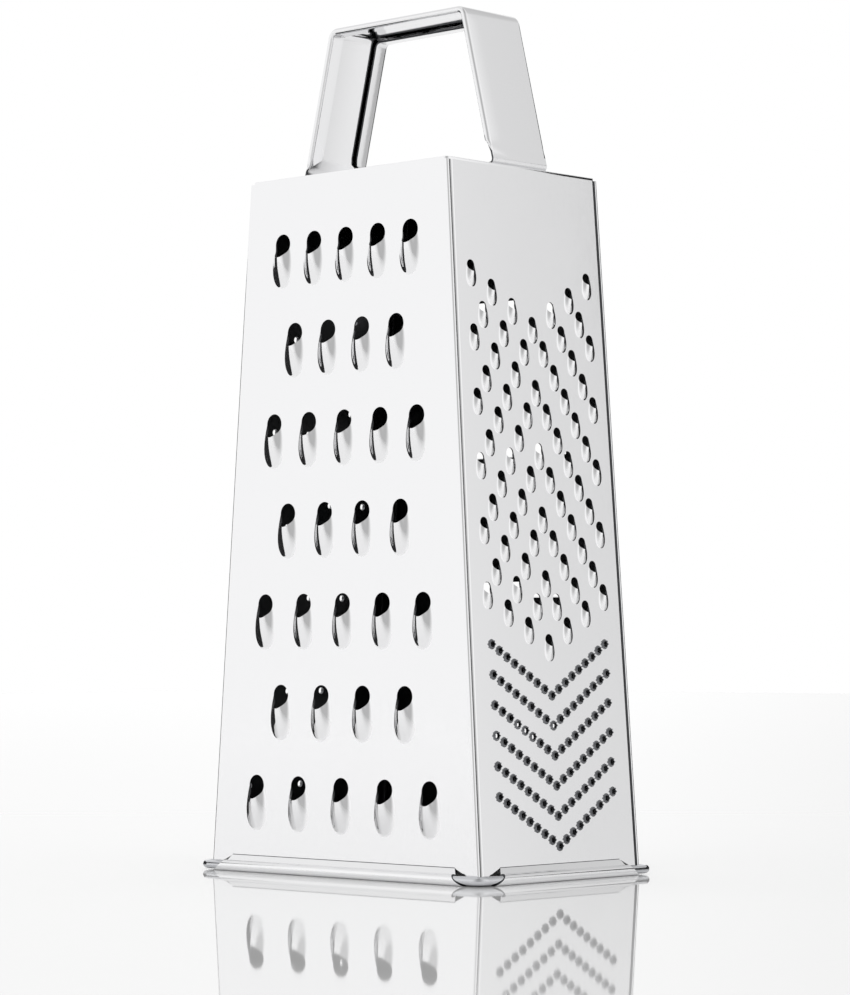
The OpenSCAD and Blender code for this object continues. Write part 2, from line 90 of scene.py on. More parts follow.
ROLL_R = WIRE_R + WIRE_PLAY + SHEET
WIRE_Z = math.sqrt(ROLL_R ** 2 - (REST_FLAT / 2) ** 2)
HEM_R = (3 * SHEET + 2 * SEAM_GAP) / 2
PLATE_Z = BODY_H + PLATE_T
HANDLE_Z = PLATE_Z + HANDLE_H
LEAN_FRONT = math.atan((BASE_D - TOP_D) / 2 / BODY_H)
LEAN_SIDE = math.atan((BASE_W - TOP_W) / 2 / BODY_H)
LEAN_HANDLE = math.atan((HANDLE_FOOT_W - HANDLE_TOP_W) / 2 / HANDLE_H)
# middle of the bend between a leg and its foot
FOOT_Z = PLATE_Z + FOOT_BEND
FOOT_X = (HANDLE_TOP_W / 2
          + ((HANDLE_Z - FOOT_Z) * math.sin(LEAN_HANDLE) - FOOT_BEND) / math.cos(LEAN_HANDLE))


# ---------------------------------------------------------------- materials
SMEAR_MM = 35       # size of the soft patches where the polish varies


def srgb(text):
    """Linear colour of an sRGB hex value."""
    parts = [int(text[i:i + 2], 16) / 255 for i in (1, 3, 5)]
    return [c / 12.92 if c <= 0.04045 else ((c + 0.055) / 1.055) ** 2.4 for c in parts] + [1.0]


def add(tree, kind, links=(), **settings):
    """Adds a node with its settings; links are (output socket, input name or number)."""
    node = tree.nodes.new(kind)
    for key, value in settings.items():
        if key.startswith("in_"):
            node.inputs[key[3:].replace("_", " ")].default_value = value
        else:
            setattr(node, key, value)
    for output, name in links:
        tree.links.new(output, node.inputs[name])
    return node


def steel(name, colour, rough, grain_mm, streak_mm, depth_mm, cloud):
    """Stainless steel with upright grain, its polish varying by the share given as cloud.

    Real rolling and polishing lines are under 0.1 mm apart, too fine to show. They are drawn three to
    four times as coarse, so that the sheen breaks up a little as it does on the real sheet.
    """
    mat = bpy.data.materials.new(name)
    mat.use_nodes = True
    tree = mat.node_tree
    shader = tree.nodes["Principled BSDF"]
    shader.inputs["Base Color"].default_value = srgb(colour)
    shader.inputs["Metallic"].default_value = 1.0
    place = add(tree, "ShaderNodeTexCoord")
    stretch = add(tree, "ShaderNodeMapping", [(place.outputs["Object"], "Vector")],
                  in_Scale=(1 / (grain_mm * MM), 1 / (grain_mm * MM), 1 / (streak_mm * MM)))
    grain = add(tree, "ShaderNodeTexNoise", [(stretch.outputs["Vector"], "Vector")],
                in_Scale=1.0, in_Detail=3.0, in_Roughness=0.6)
    smears = add(tree, "ShaderNodeTexNoise", [(place.outputs["Object"], "Vector")],
                 in_Scale=1 / (SMEAR_MM * MM), in_Detail=2.0, in_Roughness=0.5)
    both = add(tree, "ShaderNodeMath", [(grain.outputs["Fac"], 0), (smears.outputs["Fac"], 1)],
               operation="MULTIPLY")
    # two noises multiplied mostly lie between these two values
    spread = add(tree, "ShaderNodeMapRange", [(both.outputs["Value"], "Value")],
                 in_From_Min=0.1, in_From_Max=0.45,
                 in_To_Min=rough * (1 - cloud), in_To_Max=rough * (1 + cloud))
    tree.links.new(spread.outputs["Result"], shader.inputs["Roughness"])
    bump = add(tree, "ShaderNodeBump", [(grain.outputs["Fac"], "Height")],
               in_Strength=0.35, in_Distance=depth_mm * MM)
    tree.links.new(bump.outputs["Normal"], shader.inputs["Normal"])
    return mat


# panels and lid: near mirror-bright, so they show the white room with only a breath of grain
sheet_steel = steel("bright_rolled_stainless_sheet", "#F4F4F5",
                    rough=0.08, grain_mm=0.35, streak_mm=18, depth_mm=0.004, cloud=0.35)
# handle: the same brightness a shade darker, with shorter grain, so it stands off the panels
strap_steel = steel("polished_stainless_strap", "#F0F0F1",
                    rough=0.08, grain_mm=0.35, streak_mm=14, depth_mm=0.003, cloud=0.3)
# inner skins, sheared edges and the pressed crease: rougher, and painted dark as shade, so the holes
# look near black and dark lines run along the crease and the strap's edges
painted_shade_steel = steel("painted_shade_inner_sheet", "#5A5B5D",
                    rough=0.45, grain_mm=0.35, streak_mm=18, depth_mm=0.004, cloud=0.2)
# torn burrs: coarse grey crowns round the small pierced holes
torn_steel = steel("torn_burr_steel", "#7C7D80",
                   rough=0.35, grain_mm=0.3, streak_mm=0.3, depth_mm=0.02, cloud=0.3)
# base wire: drawn bright, softer and darker than the sheet that holds it
wire_steel = steel("drawn_stainless_wire", "#D2D3D6",
                   rough=0.12, grain_mm=0.3, streak_mm=6, depth_mm=0.003, cloud=0.3)
# rivet heads: satin, so they read as small grey domes on the feet
rivet_steel = steel("turned_steel_rivet", "#CBCCCF",
                    rough=0.18, grain_mm=0.3, streak_mm=0.3, depth_mm=0.003, cloud=0.3)


# ---------------------------------------------------------------- mesh helpers
FLAT, PAINTED_SHADE, TORN = 1, 2, 4     # bits of a face's skin: true plane, dark steel as painted shade, torn burr
DOUBLES = 2e-6      # metres: points nearer than this are one
SHARP_DEG, STRAP_SHARP_DEG = 38, 45     # an edge that turns further than this stays sharp


def make_mesh(name, verts_mm, faces, material, skins=None):
    """An object from points in millimetres, with each face's skin kept as an attribute."""
    mesh = bpy.data.meshes.new(name)
    mesh.from_pydata([tuple(np.asarray(v, float) * MM) for v in verts_mm], [], faces)
    if skins is not None:
        layer = mesh.attributes.new("skin", "INT", "FACE")
        layer.data.foreach_set("value", skins)
    mesh.materials.append(material)
    obj = bpy.data.objects.new(name, mesh)
    bpy.context.scene.collection.objects.link(obj)
    return obj


class Builder:
    """Collects vertices, faces and the faces' skins."""

    def __init__(self):
        self.v, self.f, self.skin = [], [], []

    def verts(self, points):
        start = len(self.v)
        self.v.extend(tuple(float(c) for c in p) for p in points)
        return list(range(start, len(self.v)))

    def face(self, ids, skin=0):
        self.f.append(tuple(ids))
        self.skin.append(skin)

    def polygon(self, points, skin=0):
        self.face(self.verts(points), skin)

    def grid(self, rows, skin=0, close=False):
        """Quads between rows of points, all rows equally long; a skin may be given per column."""
        ids = [self.verts(r) for r in rows]
        for a, b in zip(ids, ids[1:]):
            n = len(a)
            for i in range(n if close else n - 1):
                j = (i + 1) % n
                self.face((a[i], a[j], b[j], b[i]), skin[i] if isinstance(skin, list) else skin)
        return ids


def merged(build):
    """Vertices, faces and skins. Vertices that agree to 0.0001 mm are one; collapsed faces go."""
    keys, remap, out = {}, [], []
    for p in build.v:
        k = tuple(round(c, 4) for c in p)
        if k not in keys:
            keys[k] = len(out)
            out.append(p)
        remap.append(keys[k])
    faces, skins = [], []
    for f, skin in zip(build.f, build.skin):
        ids = []
        for i in (remap[i] for i in f):
            if not ids or ids[-1] != i:
                ids.append(i)
        if len(ids) > 1 and ids[0] == ids[-1]:
            ids.pop()
        if len(set(ids)) > 2:
            faces.append(ids)
            skins.append(skin)
    return out, faces, skins


def make_built(name, build, material):
    """An object from a builder's merged mesh."""
    verts, faces, skins = merged(build)
    return make_mesh(name, verts, faces, material, skins)


def column(items, name, width=1, kind=np.float32):
    """One property of all of a mesh's items as an array."""
    data = np.zeros(len(items) * width, kind)
    items.foreach_get(name, data)
    return data.reshape(-1, width) if width > 1 else data


def finish_mesh(obj, sharp_deg=SHARP_DEG):
    """Welds doubles, turns faces outward, paints the skins and gives flat sheet exact normals."""
    mesh = obj.data
    bm = bmesh.new()
    bm.from_mesh(mesh)
    bmesh.ops.remove_doubles(bm, verts=bm.verts, dist=DOUBLES)
    bmesh.ops.recalc_face_normals(bm, faces=bm.faces)
    bm.to_mesh(mesh)
    bm.free()
    mesh.shade_smooth()
    mesh.set_sharp_from_angle(angle=math.radians(sharp_deg))
    layer = mesh.attributes.get("skin")
    if layer is None:
        return
    skin = column(layer.data, "value", kind=np.int32)
    # faces with the shade bit take the dark steel, which paints shade on them; burrs take the torn
    # steel
    if (skin & (PAINTED_SHADE | TORN)).any():
        mesh.materials.append(painted_shade_steel)
        mesh.materials.append(torn_steel)
        mesh.polygons.foreach_set("material_index", (skin & (PAINTED_SHADE | TORN)) // PAINTED_SHADE)
    flat = (skin & FLAT) > 0
    corner = column(mesh.corner_normals, "vector", 3)
    face_normal = column(mesh.polygons, "normal", 3)
    owner = np.repeat(np.arange(len(skin)), column(mesh.polygons, "loop_total", kind=np.int32))
    vert = column(mesh.loops, "vertex_index", kind=np.int32)
    touching = {}
    for loop in np.nonzero(flat[owner])[0]:
        touching.setdefault(int(vert[loop]), []).append(face_normal[owner[loop]])
    limit = math.cos(math.radians(sharp_deg))
    for loop in range(len(vert)):
        if flat[owner[loop]]:
            corner[loop] = face_normal[owner[loop]]
            continue
        for n in touching.get(int(vert[loop]), ()):
            if float(n @ corner[loop]) > limit:
                corner[loop] = n
                break
    mesh.normals_split_custom_set([tuple(map(float, n)) for n in corner])


def arc(cx, cy, r, a0, a1, n):
    """Points on an arc, angles in degrees."""
    return [(cx + r * math.cos(math.radians(a)), cy + r * math.sin(math.radians(a)))
            for a in np.linspace(a0, a1, n)]


def corners(x, y):
    """The four corner middles of a rounded rectangle with the angle each arc starts at."""
    return (x, -y, -90), (x, y, 0), (-x, y, 90), (-x, -y, 180)


def inside(x, y, loop):
    """Whether a point lies inside a closed outline."""
    odd = False
    for (ax, ay), (bx, by) in zip(loop, loop[1:] + loop[:1]):
        if (ay > y) != (by > y) and x < ax + (y - ay) * (bx - ax) / (by - ay):
            odd = not odd
    return odd


def triangulate(outline, holes):
    """Triangles of a flat outline, without those inside its holes."""
    points, edges, owner = [], [], []
    loops = [outline] + holes
    for k, loop in enumerate(loops):
        start, n = len(points), len(loop)
        points.extend(Vector(p) for p in loop)
        edges.extend((start + i, start + (i + 1) % n) for i in range(n))
        owner.extend([k] * n)
    verts, _, faces, sources, _, _ = delaunay_2d_cdt(points, edges, [], 1, 1e-6)
    part = [owner[ids[0]] for ids in sources]
    kept = []
    for f in faces:
        k = part[f[0]]
        if k and all(part[i] == k for i in f):
            x, y = (sum(verts[i][c] for i in f) / 3 for c in (0, 1))
            if inside(x, y, loops[k]):
                continue
        kept.append(tuple(f))
    return [tuple(v) for v in verts], kept


# ---------------------------------------------------------------- teeth, in a panel's own axes
# Each tooth gives its builder, its outline on the front face and its outline on the back face.
BULGE = 1.3         # how much wider than the hole a scoop's foot gets, as a share of its radius
LIP_REACH = 1.3     # how far the lip's middle lies below the hole's middle, in hole radii
CREST_HOLD, CREST_FALL = 1.4, 1.1   # how long the crown stays high and how it runs out
# cross section of a scoop from crown to foot: share of half width, share of height, slope there
CROSS = [(0.0, 1.0, 0.0), (0.43, 0.76, -1.1), (0.5, 0.645, -2.15), (0.6, 0.43, -2.15), (1.0, 0.0, 0.0)]
# rings of a burr from its foot to its rim: share of the root's width, more reach, share of height,
# how far the torn outline lowers it and how far it pushes it out
BURR_RINGS = [(1.0, BURR_FOOT, 0.0, 0.0, 0.0), (1.0, 0.0, 0.22, 0.3, 0.0), (0.7, 0.0, 0.7, 0.8, 0.3),
              (0.5, 0.0, 1.0, 1.0, 0.4), (0.0, 0.05, 0.8, 1.0, 0.0)]
# heights of a torn rim's dips and points, and their mean
LOW_TEAR, HIGH_TEAR, MEAN_TEAR = (0.35, 0.6), (0.75, 1.0), 0.7
# how a blade's columns crowd towards its ends, and how gently its ramp starts
BLADE_CROWD, BLADE_EASE = 1.6, 1.15


def cross_height(q):
    """Height share of the cross section, as cubic pieces between its few points."""
    for (a, ha, sa), (b, hb, sb) in zip(CROSS, CROSS[1:]):
        if q <= b:
            w = b - a
            t = (q - a) / w
            return ((1 + 2 * t) * (1 - t) ** 2 * ha + t * (1 - t) ** 2 * w * sa
                    + t * t * (3 - 2 * t) * hb - t * t * (1 - t) * w * sb)
    return 0.0


def scoop_tooth(d, length, height, seg, bands, ring):
    """A scoop pressed up below its round hole and cut open at a sloping lip."""
    r = d / 2

    def bump(x, y):
        s = min(-y / length, 1.0)
        half = math.sqrt(max(1 - s * s, 0.0)) * r * (1 + BULGE * s)
        if abs(x) >= half:
            return 0.0
        crest = max(math.cos(math.pi / 2 * s ** CREST_HOLD), 0.0) ** CREST_FALL
        return height * crest * cross_height(abs(x) / half)

    def under(x, y):
        e = r * 0.01
        slope = Vector((bump(x - e, y) - bump(x + e, y), bump(x, y - e) - bump(x, y + e), 2 * e))
        p = Vector((x, y, bump(x, y))) - SHEET * slope.normalized()
        return (p.x, p.y, p.z)

    outer, inner = [], []
    for band in range(bands + 1):
        t = band / bands
        row = []
        for i in range(seg + 1):
            g = math.pi * i / seg
            c, s = math.cos(g), math.sin(g) if 0 < i < seg else 0.0
            row.append((-c * r * (1 + BULGE * s * (1 - t)),
                        -s * (length + (LIP_REACH * r - length) * t)))
        outer.append([(x, y, bump(x, y)) for x, y in row])
        inner.append([(x, y, -SHEET) if band == 0 or i in (0, seg) else under(x, y)
                      for i, (x, y) in enumerate(row)])
    b = Builder()
    b.grid(outer)
    # the lip's cut face, the scoop's underside and the hole's wall take the dark steel: painted shade
    b.grid([outer[-1], inner[-1]], PAINTED_SHADE)
    b.grid(inner, PAINTED_SHADE)
    hole = [(r * math.cos(a), r * math.sin(a)) for a in np.linspace(0, math.pi, ring + 1)]
    hole[0], hole[-1] = (r, 0.0), (-r, 0.0)
    b.grid([[(x, y, 0.0) for x, y in hole], [(x, y, -SHEET) for x, y in hole]], PAINTED_SHADE)
    loop = [(x, y) for x, y, _ in outer[0]] + hole[1:-1]
    return b, loop, loop


def burr_tooth(d, height, seg, seed):
    """A pierced hole with a torn crown."""
    rng = random.Random(seed)
    angles = [2 * math.pi * i / seg for i in range(seg)]
    torn = [rng.uniform(*(LOW_TEAR if i % 2 else HIGH_TEAR)) for i in range(seg)]
    r = d / 2

    def ring(rad, z, share=0.0, push=0.0):
        reach = [rad + push * (t - MEAN_TEAR) for t in torn]
        return [(q * math.cos(a), q * math.sin(a), z * (1 - share + share * t))
                for q, a, t in zip(reach, angles, torn)]
    rows = [ring(r + BURR_ROOT * wall + more, height * up, share, push)
            for wall, more, up, share, push in BURR_RINGS]
    rows += [ring(r, 0), ring(r, -SHEET)]
    b = Builder()
    b.grid(rows, TORN, close=True)
    return b, [(p[0], p[1]) for p in rows[0]], [(p[0], p[1]) for p in rows[-1]]


def blade_tooth(width, ramp_l, opening, rise):
    """A slicing blade raised below its slot, ground along its edge."""
    w = width / 2
    across = np.linspace(-1, 1, BLADE_COLUMNS)
    xs = np.sign(across) * (1 - (1 - np.abs(across)) ** BLADE_CROWD) * w
    steps = np.linspace(0, 1, BLADE_BANDS)

    def height(x, t):
        side = min(1.0, (w - abs(x)) / BLADE_SIDE)
        return rise * t ** BLADE_EASE * side * side * (3 - 2 * side)

    def front_y(t):
        return -ramp_l * (1 - t)

    def back_y(t):
        return front_y(t) - (BLADE_GRIND if t == 1 else 0)
    front = [[(x, front_y(t), height(x, t)) for x in xs] for t in steps]
    back = [[(x, back_y(t), height(x, t) - SHEET) for x in xs] for t in steps]
    b = Builder()
    b.grid(front)
    b.grid([front[-1], back[-1]])
    # the blade's underside takes the dark steel: painted shade
    b.grid(back, PAINTED_SHADE)
    for s in (1, -1):
        b.polygon([(s * w, 0, 0), (s * w, 0, -SHEET), (s * w, -BLADE_GRIND, -SHEET)])
    slot = [(-w, 0.0)]
    slot += arc(-w + SLOT_CORNER, opening - SLOT_CORNER, SLOT_CORNER, 180, 90, SLOT_CORNER_POINTS)
    slot += [(-x, y) for x, y in reversed(slot)]
    b.grid([[(x, y, 0.0) for x, y in slot], [(x, y, -SHEET) for x, y in slot]])
    over = list(reversed(slot))[1:]
    loop = [(x, -ramp_l) for x in xs] + [(w, front_y(t)) for t in steps[1:]]
    loop += over + [(-w, front_y(t)) for t in reversed(steps[1:-1])]
    back_loop = [(x, -ramp_l) for x in xs] + [(w, back_y(t)) for t in steps[1:]] + [(w, 0.0)]
    back_loop += over + [(-w, back_y(t)) for t in reversed(steps[1:])]
    return b, loop, back_loop


def row_places(n, pitch):
    """Places across a panel for a row of n, its middle on the panel's."""
    return [(i - (n - 1) / 2) * pitch for i in range(n)]


def coarse_places():
    """Rows of five and four in turn, spread as the panel widens."""
    out = []
    for row in range(COARSE_ROWS):
        h = BODY_H - COARSE_TOP - row * COARSE_STEP
        pitch = COARSE_PITCH_LOW + (COARSE_PITCH_HIGH - COARSE_PITCH_LOW) * h / BODY_H
        out += [(x, h / math.cos(LEAN_FRONT)) for x in row_places(5 - row % 2, pitch)]
    return out


def chevron_places(rows, arms, top, step, pitch, rise, staggered):
    """Rows that rise from the middle to both sides, every second one shorter if staggered."""
    out = []
    for row in range(rows):
        n = 2 * arms + 1 - (row % 2 if staggered else 0)
        out += [(x, (top - row * step + rise * abs(x) / pitch) / math.cos(LEAN_SIDE))
                for x in row_places(n, pitch)]
    return out


def zest_places():
    """A staggered field that fills the panel."""
    return [(x, (ZEST_LOW + row * ZEST_STEP) / math.cos(LEAN_SIDE))
            for row in range(ZEST_ROWS) for x in row_places(ZEST_ACROSS - row % 2, ZEST_STEP)]


def blade_places():
    """Slots one above the other."""
    return [(0, (BLADE_LOW + row * BLADE_STEP) / math.cos(LEAN_FRONT)) for row in range(BLADES)]


# ---------------------------------------------------------------- panels
def teeth_tree():
    """Sets a tooth on each point of a second object and welds the teeth into the sheet."""
    tree = bpy.data.node_groups.new("punched_teeth", "GeometryNodeTree")
    for name, kind in (("Geometry", "Geometry"), ("Tooth", "Object"), ("Places", "Object"),
                       ("Weld distance", "Float"), ("Material", "Material")):
        tree.interface.new_socket(name, in_out="INPUT", socket_type="NodeSocket" + kind)
    tree.interface.new_socket("Geometry", in_out="OUTPUT", socket_type="NodeSocketGeometry")
    given = add(tree, "NodeGroupInput")
    tooth = add(tree, "GeometryNodeObjectInfo", [(given.outputs["Tooth"], "Object")])
    places = add(tree, "GeometryNodeObjectInfo", [(given.outputs["Places"], "Object")])
    copies = add(tree, "GeometryNodeInstanceOnPoints",
                 [(places.outputs["Geometry"], "Points"), (tooth.outputs["Geometry"], "Instance")])
    real = add(tree, "GeometryNodeRealizeInstances", [(copies.outputs["Instances"], "Geometry")])
    both = add(tree, "GeometryNodeJoinGeometry",
               [(given.outputs["Geometry"], 0), (real.outputs["Geometry"], 0)])
    weld = add(tree, "GeometryNodeMergeByDistance",
               [(both.outputs["Geometry"], "Geometry"), (given.outputs["Weld distance"], "Distance")])
    whole = add(tree, "GeometryNodeRealizeInstances", [(weld.outputs["Geometry"], "Geometry")])
    paint = add(tree, "GeometryNodeSetMaterial",
                [(whole.outputs["Geometry"], "Geometry"), (given.outputs["Material"], "Material")])
    add(tree, "NodeGroupOutput", [(paint.outputs["Geometry"], 0)])
    return tree


TEETH_TREE = teeth_tree()
WELD = 4e-6     # metres: a tooth's rim joins the sheet's hole within this


def set_input(modifier, name, value):
    """Sets a modifier's input by the identifier of the socket with this name."""
    for item in modifier.node_group.interface.items_tree:
        if item.item_type == "SOCKET" and item.in_out == "INPUT" and item.name == name:
            modifier[item.identifier] = value


def plant(sheet, tooth_build, places):
    """Applies the teeth tree to a sheet object for one kind of tooth."""
    tooth = make_built("tooth_tool", tooth_build, sheet_steel)
    spots = make_mesh("places_tool", [(x, y, 0) for x, y in places], [], sheet_steel)
    mod = sheet.modifiers.new("teeth", "NODES")
    mod.node_group = TEETH_TREE
    for name, value in (("Tooth", tooth), ("Places", spots), ("Weld distance", WELD),
                        ("Material", sheet_steel)):
        set_input(mod, name, value)
    sheet.update_tag()
    bpy.context.view_layer.update()
    graph = bpy.context.evaluated_depsgraph_get()
    result = bpy.data.meshes.new_from_object(sheet.evaluated_get(graph), depsgraph=graph)
    sheet.modifiers.remove(mod)
    sheet.data = result
    for tool in (tooth, spots):
        bpy.data.objects.remove(tool)


def edge_fold(front):
    """Section of a long edge's fold, as (out from the panel's edge, height over its face), and skins.

    The front and back panels fold their edge round the side panels' hook. Only a fold's first faces are
    open to view, the rest is deep in the seam or inside the body.
    """
    if front:
        outer = [(HEM_R, 0.0)] + arc(HEM_R, -HEM_R, HEM_R, 90, 270, HEM_POINTS)[1:]
        outer += [(HEM_R + HOOK_L, -2 * HEM_R)]
        inner = [(HEM_R, -SHEET)] + arc(HEM_R, -HEM_R, HEM_R - SHEET, 90, 270, HEM_POINTS)[1:]
        inner += [(HEM_R + HOOK_L, SHEET - 2 * HEM_R)]
        loop = [(-x, z) for x, z in outer + inner[::-1]]
        in_view = 9
    else:
        depth = 2 * HEM_R + SEAM_GAP
        turn = HEM_R + HOOK_L + SEAM_GAP
        mid = -SHEET - SEAM_GAP - HEM_R
        end = HEM_R + SEAM_GAP
        outer = [(0.0, -depth - BEND_R)]
        outer += arc(BEND_R, -depth - BEND_R, BEND_R, 180, 90, BEND_POINTS)[1:]
        outer += [(turn, -depth)] + arc(turn, mid, HEM_R - SHEET, -90, 90, HOOK_POINTS)
        outer += [(end, mid + HEM_R - SHEET)]
        inner = [(SHEET, -depth - BEND_R)]
        inner += arc(BEND_R, -depth - BEND_R, BEND_R - SHEET, 180, 90, BEND_POINTS)[1:]
        inner += [(turn, -depth - SHEET)] + arc(turn, mid, HEM_R, -90, 90, HOOK_POINTS)
        inner += [(end, mid + HEM_R)]
        loop = [(z, -x) for x, z in outer + inner[::-1]]
        in_view = 4
    # faces past the first few take the dark steel: painted shade deep in the seam and inside the body
    return loop, [0 if i < in_view else PAINTED_SHADE for i in range(len(loop) - 1)]


def sheet_build(low, high, lean, front, teeth):
    """The flat sheet with its holes and its folded long edges, in the panel's own axes."""
    inset = HEM_R if front else 2 * HEM_R + SEAM_GAP + BEND_R
    y_top, y_flare, y_tip, y_ear = (h / math.cos(lean) for h in (BODY_H, FLARE_H, TIP_H, EAR_H))

    def edge(y):
        return (low + (high - low) * y * math.cos(lean) / BODY_H) / 2
    right = [(edge(y_top) - inset, y_top), (edge(y_tip) - inset, y_tip),
             (edge(y_tip) - TIP_W + TIP_TURN, y_tip), (edge(y_ear) - TIP_W, y_ear),
             (edge(y_flare) - FLARE_CUT, y_flare)]
    outline = right + [(-x, y) for x, y in reversed(right)]
    front_holes, back_holes = [], []
    for _, face_loop, back_loop, places in teeth:
        for px, py in places:
            front_holes.append([(px + x, py + y) for x, y in face_loop])
            back_holes.append([(px + x, py + y) for x, y in back_loop])
    b = Builder()
    # the sheet's back face takes the dark steel: painted shade inside the body
    for holes, z, turn, skin in ((front_holes, 0.0, 1, FLAT), (back_holes, -SHEET, -1, FLAT | PAINTED_SHADE)):
        verts, faces = triangulate(outline, holes)
        ids = b.verts([(x, y, z) for x, y in verts])
        for f in faces:
            b.face([ids[i] for i in f][::turn], skin)
    # edge walls along the top and the lower steps; the long edges run on into the folds
    long_edge = {round(y_top, 5), round(y_tip, 5)}
    for p, q in zip(outline, outline[1:] + outline[:1]):
        if {round(p[1], 5), round(q[1], 5)} != long_edge:
            b.polygon([(*p, 0), (*q, 0), (*q, -SHEET), (*p, -SHEET)], FLAT)
    loop, skins = edge_fold(front)
    for s in (1, -1):
        low_ring = [(s * (edge(y_tip) + x), y_tip, z) for x, z in loop]
        high_ring = [(s * (edge(y_top) + x), y_top, z) for x, z in loop]
        b.grid([low_ring, high_ring], skins)
        b.polygon(low_ring)
        b.polygon(high_ring)
    return b


def panel(name, node, quarter, teeth):
    """One punched panel with its seams, ledge and rolled edge, a number of quarter turns round."""
    front = quarter % 2 == 0
    low, high, dist, lean = ((BASE_W, TOP_W, BASE_D / 2, LEAN_FRONT) if front
                             else (BASE_D, TOP_D, BASE_W / 2, LEAN_SIDE))
    sheet = make_built(name, sheet_build(low, high, lean, front, teeth), sheet_steel)
    for build, _, _, places in teeth:
        plant(sheet, build, places)
    # from the panel's own axes to the leaning plane
    tilt = Matrix.Rotation(math.pi / 2 - lean, 4, "X")
    sheet.data.transform(Matrix.Translation((0, -dist * MM, 0)) @ tilt)
    extra = Builder()
    roll(extra, low, dist, lean)
    x0 = high / 2 - LEDGE_CLEAR
    y0 = -(dist - BODY_H * math.tan(lean)) + SHEET / 2
    box(extra, (-x0, y0, BODY_H - SHEET), (x0, y0 + LEDGE_W - SHEET / 2, BODY_H))
    join(sheet, make_built("roll_tool", extra, sheet_steel))
    sheet.data.transform(Matrix.Rotation(quarter * math.pi / 2, 4, "Z"))
    finish_mesh(sheet)
    adopt(sheet, node)


def box(b, lo, hi):
    """A box between two corners."""
    ids = b.verts([(x, y, z) for x in (lo[0], hi[0]) for y in (lo[1], hi[1]) for z in (lo[2], hi[2])])
    for f in ((0, 1, 3, 2), (4, 6, 7, 5), (0, 4, 5, 1), (2, 3, 7, 6), (0, 2, 6, 4), (1, 5, 7, 3)):
        b.face([ids[i] for i in f])


def join(target, other):
    """Moves another object's mesh into the target's."""
    bm = bmesh.new()
    bm.from_mesh(target.data)
    bm.from_mesh(other.data)
    bm.to_mesh(target.data)
    bm.free()
    bpy.data.objects.remove(other)


def roll(b, low, dist, lean):
    """Flare and roll of the lower edge, its ends cut round by the corner notches."""
    start = (-FLARE_H * math.tan(lean), FLARE_H)
    wraps = [arc(WIRE_OUT, WIRE_Z, r, WRAP_FROM, WRAP_TO, WRAP_POINTS)
             for r in (ROLL_R, ROLL_R - SHEET)]
    share = CREASE_W / math.dist(start, wraps[0][0])
    sides = []
    for first, wrap in zip((start, (start[0] - SHEET, FLARE_H)), wraps):
        crease = tuple(p + (q - p) * share for p, q in zip(first, wrap[0]))
        sides.append([(o, max(z, 0.0)) for o, z in [first, crease] + wrap])
    loop = sides[0] + sides[1][::-1]
    ends = []
    for s in (-1, 1):
        ring = []
        for o, z in loop:
            cut = math.sqrt(max(NOTCH_R ** 2 - (NOTCH_H - z) ** 2, 0))
            ring.append((s * (low / 2 - cut), -dist - o, z))
        ends.append(ring)
    # the first strip is the crease, and it and the roll's cut ends take the dark steel: painted shade
    b.grid([ends[0], ends[1]], [PAINTED_SHADE] + [0] * (len(loop) - 1), close=True)
    for ring in ends:
        close_ends(b, ring, PAINTED_SHADE)


def close_ends(b, ring, skin=0):
    """Quads across the thickness of a bent sheet's end, given as outer points and inner ones back."""
    n = len(ring)
    for i in range(n // 2 - 1):
        b.polygon([ring[i], ring[i + 1], ring[n - 2 - i], ring[n - 1 - i]], skin)


def adopt(obj, node):
    """Makes an object stand for its CAD node, on the one body that there is."""
    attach(obj, "root")
    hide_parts(node)


coarse = scoop_tooth(COARSE_D, COARSE_L, COARSE_UP, seg=36, bands=10, ring=14)
fine = scoop_tooth(FINE_D, FINE_L, FINE_UP, seg=20, bands=6, ring=10)
rasp = burr_tooth(RASP_D, RASP_UP, seg=12, seed=11)
zest = burr_tooth(ZEST_D, ZEST_UP, seg=12, seed=12)
blade = blade_tooth(BLADE_W, BLADE_L, SLOT_H, BLADE_UP)
fine_places = chevron_places(rows=11, arms=3, top=157.3, step=9, pitch=8.2, rise=4.8, staggered=True)
rasp_places = chevron_places(rows=6, arms=8, top=51.5, step=8.4, pitch=3, rise=1.8, staggered=False)

panel("coarse_face", "coarse_panel", 0, [(*coarse, coarse_places())])
panel("fine_face", "fine_panel", 1, [(*fine, fine_places), (*rasp, rasp_places)])
panel("slicing_face", "slicing_panel", 2, [(*blade, blade_places())])
panel("zesting_face", "zesting_panel", 3, [(*zest, zest_places())])


# ---------------------------------------------------------------- wire, plate, handle, rivets
def piece(name, build, material, node, sharp_deg=SHARP_DEG):
    """Finishes a builder's mesh as one piece in place of its CAD node."""
    obj = make_built(name, build, material)
    finish_mesh(obj, sharp_deg)
    adopt(obj, node)


def ring_wire():
    """The closed wire ring, bare at the corners."""
    section = arc(0, 0, WIRE_R, 0, 360 - 360 / WIRE_POINTS, WIRE_POINTS)
    rows = []
    for cx, cy, a in corners(BASE_W / 2 + WIRE_OUT - WIRE_CORNER, BASE_D / 2 + WIRE_OUT - WIRE_CORNER):
        for px, py in arc(cx, cy, WIRE_CORNER, a, a + 90, WIRE_CORNER_POINTS):
            nx, ny = (px - cx) / WIRE_CORNER, (py - cy) / WIRE_CORNER
            rows.append([(px + nx * q, py + ny * q, WIRE_Z + z) for q, z in section])
    b = Builder()
    b.grid(rows + rows[:1], close=True)
    piece("ring_wire", b, wire_steel, "base_wire")


